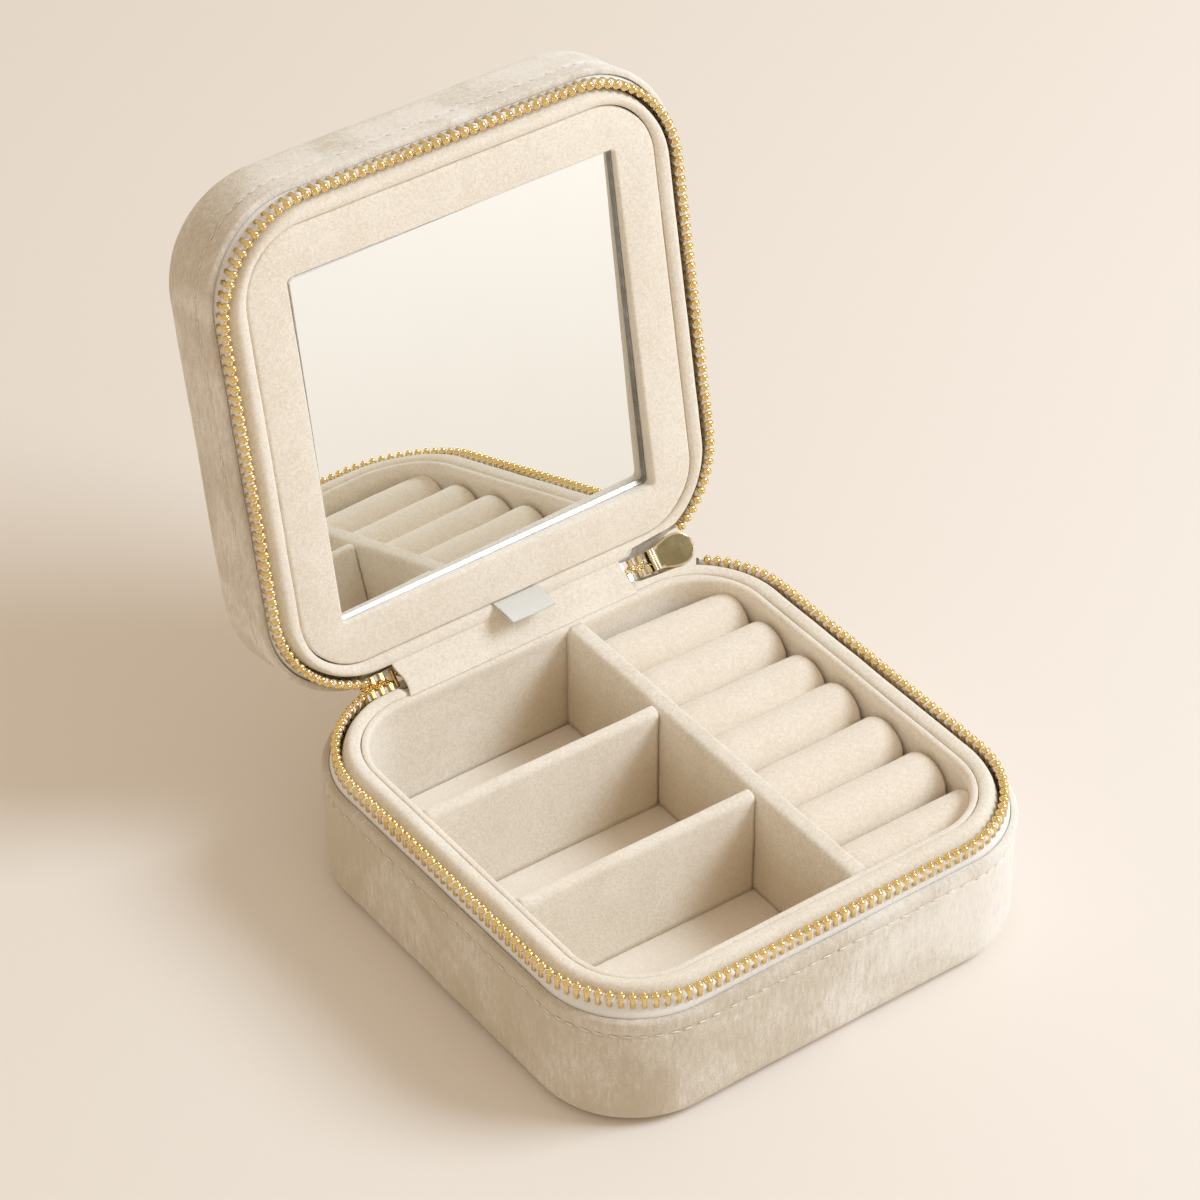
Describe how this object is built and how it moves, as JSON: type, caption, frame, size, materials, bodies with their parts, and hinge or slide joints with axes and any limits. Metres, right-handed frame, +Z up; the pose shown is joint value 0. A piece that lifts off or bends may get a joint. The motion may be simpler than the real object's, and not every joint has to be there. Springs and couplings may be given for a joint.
{
  "type": "travel jewelry case",
  "caption": "Square velvet-covered travel jewelry case with rounded corners, a zip-round hinged lid with a mirror, divided compartments and a row of padded ring rolls.",
  "frame": {"origin": "on the table, under the middle of the base", "axes": "+Z up, +X to the right as seen from the front, +Y from the front towards the hinge"},
  "size_m": [0.1034, 0.1396, 0.1309],
  "materials": {
    "velvet_outer": "champagne velvet with crushed nap, light and dark patches",
    "velvet_inner": "short-nap champagne velvet",
    "zip_tape": "silvery white herringbone-woven tape",
    "brass_teeth": "polished gold-coloured brass",
    "brass_slider": "polished pale brass",
    "mirror": "silvered flat glass",
    "board": "grey board",
    "foam": "upholstery foam",
    "satin": "pearl white satin ribbon"
  },
  "bodies": {
    "base": {"base_shell": "velvet_outer", "base_collar": "velvet_inner", "base_lining": "velvet_inner", "floor_pad": "velvet_inner", "long_divider": "velvet_inner", "short_divider_back": "velvet_inner", "short_divider_front": "velvet_inner", "roll_bed": "foam", "ring_roll_1": "velvet_inner", "ring_roll_2": "velvet_inner", "ring_roll_3": "velvet_inner", "ring_roll_4": "velvet_inner", "ring_roll_5": "velvet_inner", "ring_roll_6": "velvet_inner", "ring_roll_7": "velvet_inner", "base_tape": "zip_tape", "base_teeth": "brass_teeth", "hinge_tape_base": "zip_tape", "hinge_flap": "velvet_inner"},
    "lid": {"lid_shell": "velvet_outer", "lid_collar": "velvet_inner", "lid_lining": "velvet_inner", "mirror_frame": "velvet_inner", "mirror_glass": "mirror", "mirror_back": "board", "ribbon_tab": "satin", "lid_tape": "zip_tape", "lid_teeth": "brass_teeth", "hinge_tape_lid": "zip_tape"},
    "zip_chain": {"hinge_chain": "brass_teeth", "hinge_chain_tape": "zip_tape", "end_box": "brass_teeth", "chain_end": "brass_teeth", "chain_end_tape": "zip_tape"},
    "slider": {"slider_body": "brass_slider"},
    "pull": {"pull_tab": "brass_slider"}
  },
  "joints": [
    {"name": "lid_hinge", "type": "hinge", "parent": "base", "child": "lid", "pos_m": [0, 0.05, 0.0315], "axis": [1, 0, 0], "range_deg": [0, 101], "deforming": ["hinge_flap", "ribbon_tab"]},
    {"name": "chain_lean", "type": "hinge", "parent": "base", "child": "zip_chain", "pos_m": [0, 0.0498, 0.03], "axis": [1, 0, 0], "range_deg": [0, 45.45]},
    {"name": "slider_travel", "type": "slide", "parent": "zip_chain", "child": "slider", "axis": [0.9848, -0.1218, 0.1237], "range_m": [-0.003, 0]},
    {"name": "pull_swing", "type": "hinge", "parent": "slider", "child": "pull", "pos_m": [0.0379, 0.05208, 0.02768], "axis": [0.9848, -0.1218, 0.1237], "range_deg": [0, 60]}
  ],
  "couplings": [
    {"joint": "chain_lean", "follows": "lid_hinge", "ratio": 0.45}
  ]
}
